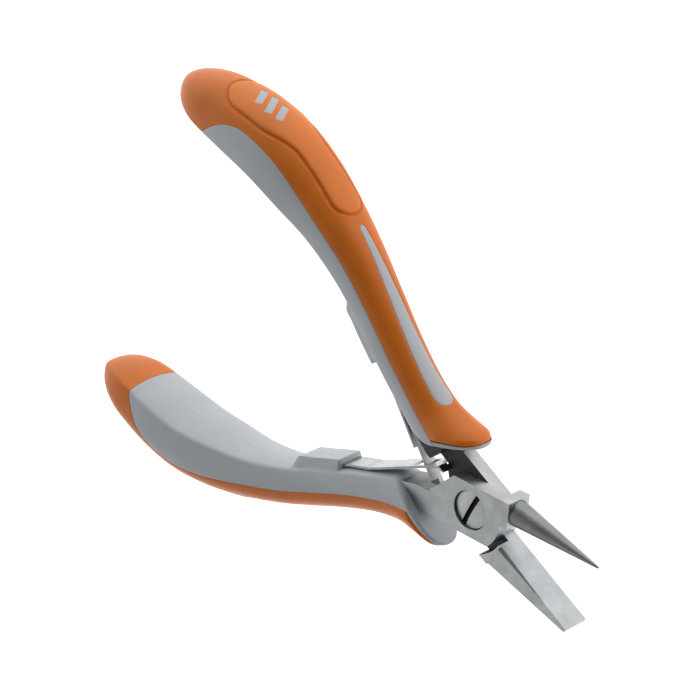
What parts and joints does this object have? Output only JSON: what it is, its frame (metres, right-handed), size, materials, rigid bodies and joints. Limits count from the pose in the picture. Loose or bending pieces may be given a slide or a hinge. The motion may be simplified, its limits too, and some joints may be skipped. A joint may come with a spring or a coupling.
{
  "type": "round and flat nose pliers",
  "caption": "Slim jewellery pliers with one round and one flat tapered jaw, a lap joint with a slotted screw, crossing leaf springs and two-colour moulded handles.",
  "frame": {"origin": "on the pivot axis, at the back face of the head", "axes": "+Z along the pivot axis to the screw head, +X midway between the open jaws towards their tips, +Y towards the handle of the flat-jaw lever"},
  "size_m": [0.1352, 0.0958, 0.0173],
  "materials": {
    "satin_steel": "satin forged and ground steel",
    "screw_steel": "turned steel, fine concentric marks",
    "spring_steel": "bright rolled spring strip",
    "grey_plastic": "fine-textured hard plastic",
    "orange_soft": "satin soft-touch elastomer",
    "orange_pad": "finely grained soft-touch elastomer",
    "badge_grey": "moulded inlay"
  },
  "bodies": {
    "round_jaw_side": {"round_jaw_lever": "satin_steel", "lower_leaf_spring": "spring_steel", "lower_core": "grey_plastic", "lower_shell": "orange_soft", "lower_palm_pad": "orange_pad", "lower_badge": "badge_grey"},
    "flat_jaw_side": {"flat_jaw_lever": "satin_steel", "pivot_screw": "screw_steel", "upper_leaf_spring": "spring_steel", "upper_core": "grey_plastic", "upper_shell": "orange_soft", "upper_palm_pad": "orange_pad", "upper_badge": "badge_grey"}
  },
  "joints": [
    {"name": "pivot", "type": "hinge", "parent": "round_jaw_side", "child": "flat_jaw_side", "pos_m": [0, 0, 0], "axis": [0, 0, 1], "range_deg": [0, 28], "stiffness_Nm_per_rad": 1, "springref_deg": -2.86, "deforming": ["upper_leaf_spring", "lower_leaf_spring"]}
  ]
}
